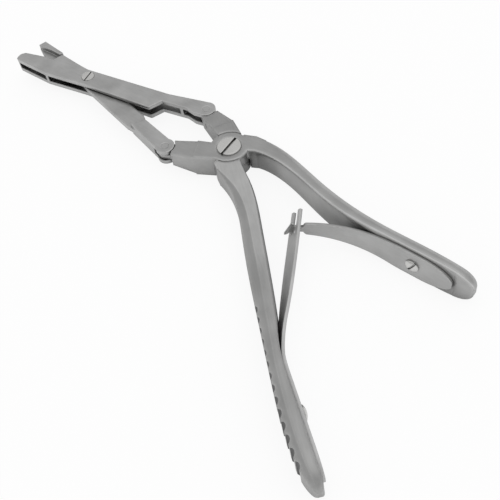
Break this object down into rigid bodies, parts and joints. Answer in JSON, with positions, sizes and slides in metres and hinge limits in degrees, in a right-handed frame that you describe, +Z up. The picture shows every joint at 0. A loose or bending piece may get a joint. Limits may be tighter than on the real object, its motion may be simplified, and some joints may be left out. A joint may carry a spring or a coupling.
{
  "type": "nasal septum forceps",
  "caption": "Double-action nasal septum forceps: ring-nosed cutting jaws worked by crossed arms, half-lap main screw joint and long handles held open by interlocked leaf springs.",
  "frame": {"origin": "middle of the underside of the overall box, on the surface the instrument lies on", "axes": "+X from the jaws towards the handles along the upper handle, +Y from the lower handle towards the upper handle, +Z up, square to the flat of the joints"},
  "size_m": [0.168, 0.0756, 0.0106],
  "materials": {
    "handle_steel": "satin",
    "jaw_steel": "satin",
    "screw_steel": "semi-gloss",
    "pin_steel": "satin",
    "spring_steel": "satin"
  },
  "bodies": {
    "upper_frame": {"upper_handle": "handle_steel", "main_screw": "screw_steel", "upper_leaf_screw": "screw_steel"},
    "lower_frame": {"lower_handle": "handle_steel", "lower_leaf_screw": "screw_steel"},
    "female_jaw": {"box_jaw": "jaw_steel", "jaw_screw": "screw_steel", "upper_arm_pin": "pin_steel"},
    "male_jaw": {"through_jaw": "jaw_steel", "lower_arm_pin": "pin_steel"},
    "upper_leaf": {"upper_leaf_spring": "spring_steel"},
    "lower_leaf": {"lower_leaf_spring": "spring_steel"}
  },
  "joints": [
    {"name": "main_pivot", "type": "hinge", "parent": "upper_frame", "child": "lower_frame", "pos_m": [0.00543, 0.02594, 0.00525], "axis": [0, 0, 1], "range_deg": [0, 24], "stiffness_Nm_per_rad": 1.5, "springref_deg": -6.88},
    {"name": "box_jaw_pivot", "type": "hinge", "parent": "lower_frame", "child": "female_jaw", "pos_m": [-0.0117, 0.03505, 0.00525], "axis": [0, 0, 1], "range_deg": [-17, 0]},
    {"name": "through_jaw_pivot", "type": "hinge", "parent": "upper_frame", "child": "male_jaw", "pos_m": [-0.0117, 0.01683, 0.00525], "axis": [0, 0, 1], "range_deg": [0, 17]},
    {"name": "upper_leaf_flex", "type": "hinge", "parent": "upper_frame", "child": "upper_leaf", "pos_m": [0.06043, 0.02264, 0.00525], "axis": [0, 0, 1], "range_deg": [-14, 0], "deforming": ["upper_leaf_spring"]},
    {"name": "lower_leaf_flex", "type": "hinge", "parent": "lower_frame", "child": "lower_leaf", "pos_m": [0.0624, -0.02066, 0.00525], "axis": [0, 0, 1], "range_deg": [0, 10.5], "deforming": ["lower_leaf_spring"]}
  ],
  "couplings": [
    {"joint": "box_jaw_pivot", "follows": "main_pivot", "ratio": -0.7055},
    {"joint": "through_jaw_pivot", "follows": "main_pivot", "ratio": 0.7055},
    {"joint": "upper_leaf_flex", "follows": "main_pivot", "ratio": -0.58},
    {"joint": "lower_leaf_flex", "follows": "main_pivot", "ratio": 0.435}
  ]
}
